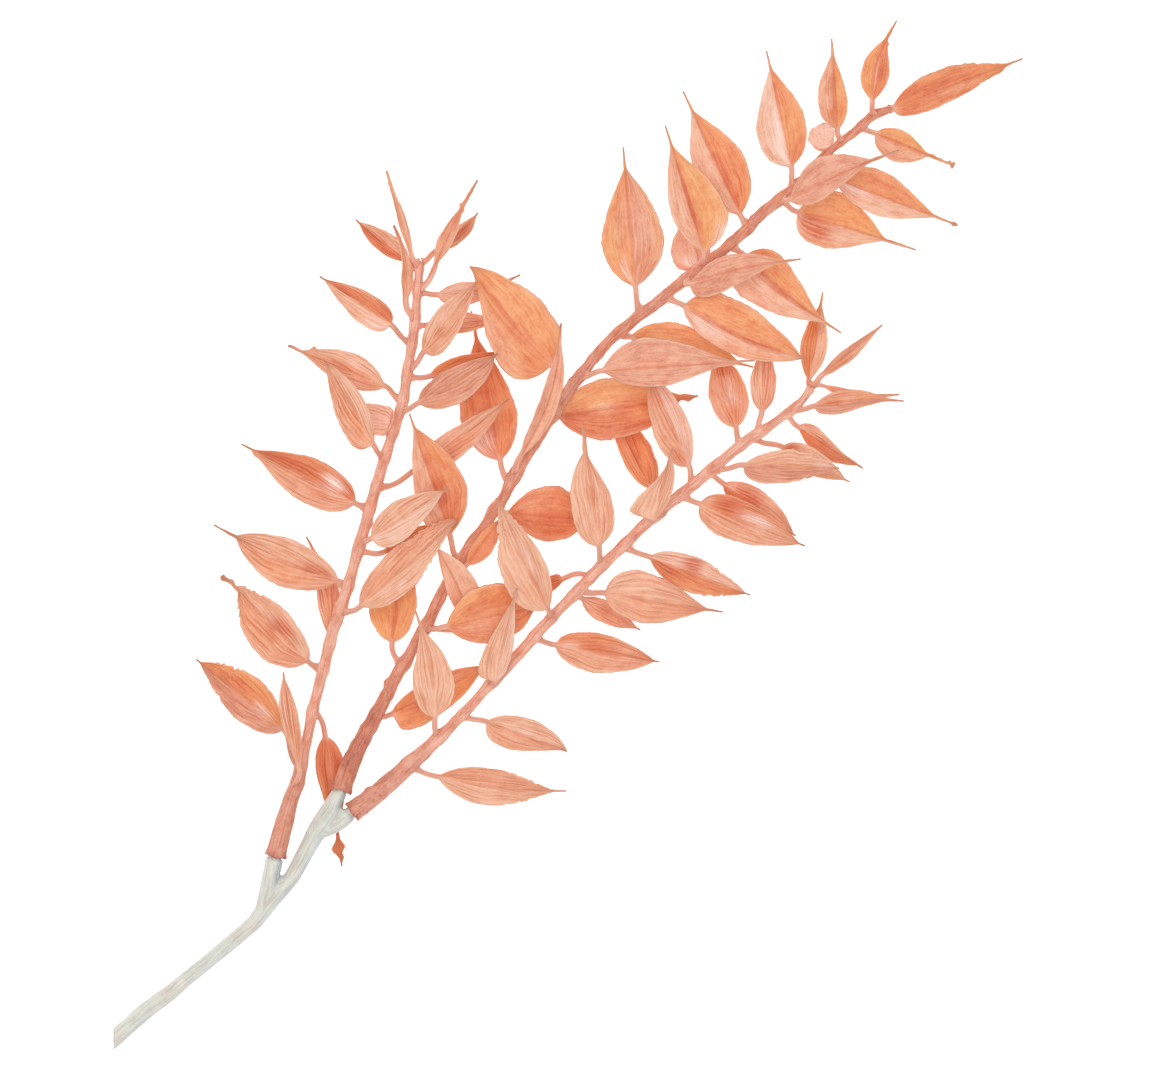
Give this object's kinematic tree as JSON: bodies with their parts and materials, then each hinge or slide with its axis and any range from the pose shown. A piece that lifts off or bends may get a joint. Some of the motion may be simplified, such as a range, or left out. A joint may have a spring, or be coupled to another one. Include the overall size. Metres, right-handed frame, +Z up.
{
  "type": "dried ruscus stem",
  "caption": "Cut stem of pale forked wood-like stalk carrying leafy salmon and orange sprays, each pushed over a peg of the stalk, laid down for decoration or flower arranging.",
  "frame": {"origin": "on the table, under the middle of the laid-down stem's footprint", "axes": "+Y runs from the cut end of the pale stem towards the last leaf, +Z points up from the table towards the viewer, +X is then to the side of the right-hand spray"},
  "size_m": [0.1916, 0.4594, 0.0483],
  "materials": {
    "pale_stem": "off-white satin with a faint lengthwise grain",
    "spray_stem": "pinkish salmon, dull and slightly rough",
    "left_leaf": "pale peach with darker orange grooves along the leaf",
    "centre_leaf": "vivid orange satin with fine lengthwise streaks",
    "right_leaf": "pale salmon with darker grooves and some red-orange patches"
  },
  "bodies": {
    "root": {"centre_leaf_06": "centre_leaf", "centre_leaf_07": "centre_leaf", "centre_leaf_08": "centre_leaf", "centre_leaf_09": "centre_leaf", "centre_leaf_10": "centre_leaf", "centre_leaf_11": "centre_leaf", "centre_leaf_13": "centre_leaf", "centre_leaf_18": "centre_leaf", "centre_leaf_26": "centre_leaf", "centre_leaf_28": "centre_leaf", "centre_leaf_29": "centre_leaf", "centre_leaves_01_05": "centre_leaf", "centre_leaves_02_04": "centre_leaf", "centre_leaves_03_27": "centre_leaf", "centre_leaves_12_14": "centre_leaf", "centre_leaves_15_21": "centre_leaf", "centre_leaves_16_23": "centre_leaf", "centre_leaves_17_19": "centre_leaf", "centre_leaves_20_22": "centre_leaf", "centre_leaves_24_25": "centre_leaf", "centre_spray_stem": "spray_stem", "left_leaf_07": "left_leaf", "left_leaf_08": "left_leaf", "left_leaf_09": "left_leaf", "left_leaf_11": "left_leaf", "left_leaf_13": "left_leaf", "left_leaf_14": "left_leaf", "left_leaf_15": "left_leaf", "left_leaf_16": "left_leaf", "left_leaf_19": "left_leaf", "left_leaf_22": "left_leaf", "left_leaf_24": "left_leaf", "left_leaves_01_03": "left_leaf", "left_leaves_02_06": "left_leaf", "left_leaves_04_05": "left_leaf", "left_leaves_10_12": "left_leaf", "left_leaves_17_18": "left_leaf", "left_leaves_20_21": "left_leaf", "left_leaves_23_25": "left_leaf", "left_spray_stem": "spray_stem", "pale_stem": "pale_stem", "right_leaf_01": "right_leaf", "right_leaf_02": "right_leaf", "right_leaf_03": "right_leaf", "right_leaf_04": "right_leaf", "right_leaf_05": "right_leaf", "right_leaf_06": "right_leaf", "right_leaf_09": "right_leaf", "right_leaf_10": "right_leaf", "right_leaf_12": "right_leaf", "right_leaf_14": "right_leaf", "right_leaf_23": "right_leaf", "right_leaf_25": "right_leaf", "right_leaves_07_08": "right_leaf", "right_leaves_11_13": "right_leaf", "right_leaves_15_22": "right_leaf", "right_leaves_16_17_18": "right_leaf", "right_leaves_19_20": "right_leaf", "right_leaves_21_24": "right_leaf", "right_spray_stem": "spray_stem"}
  },
  "joints": []
}
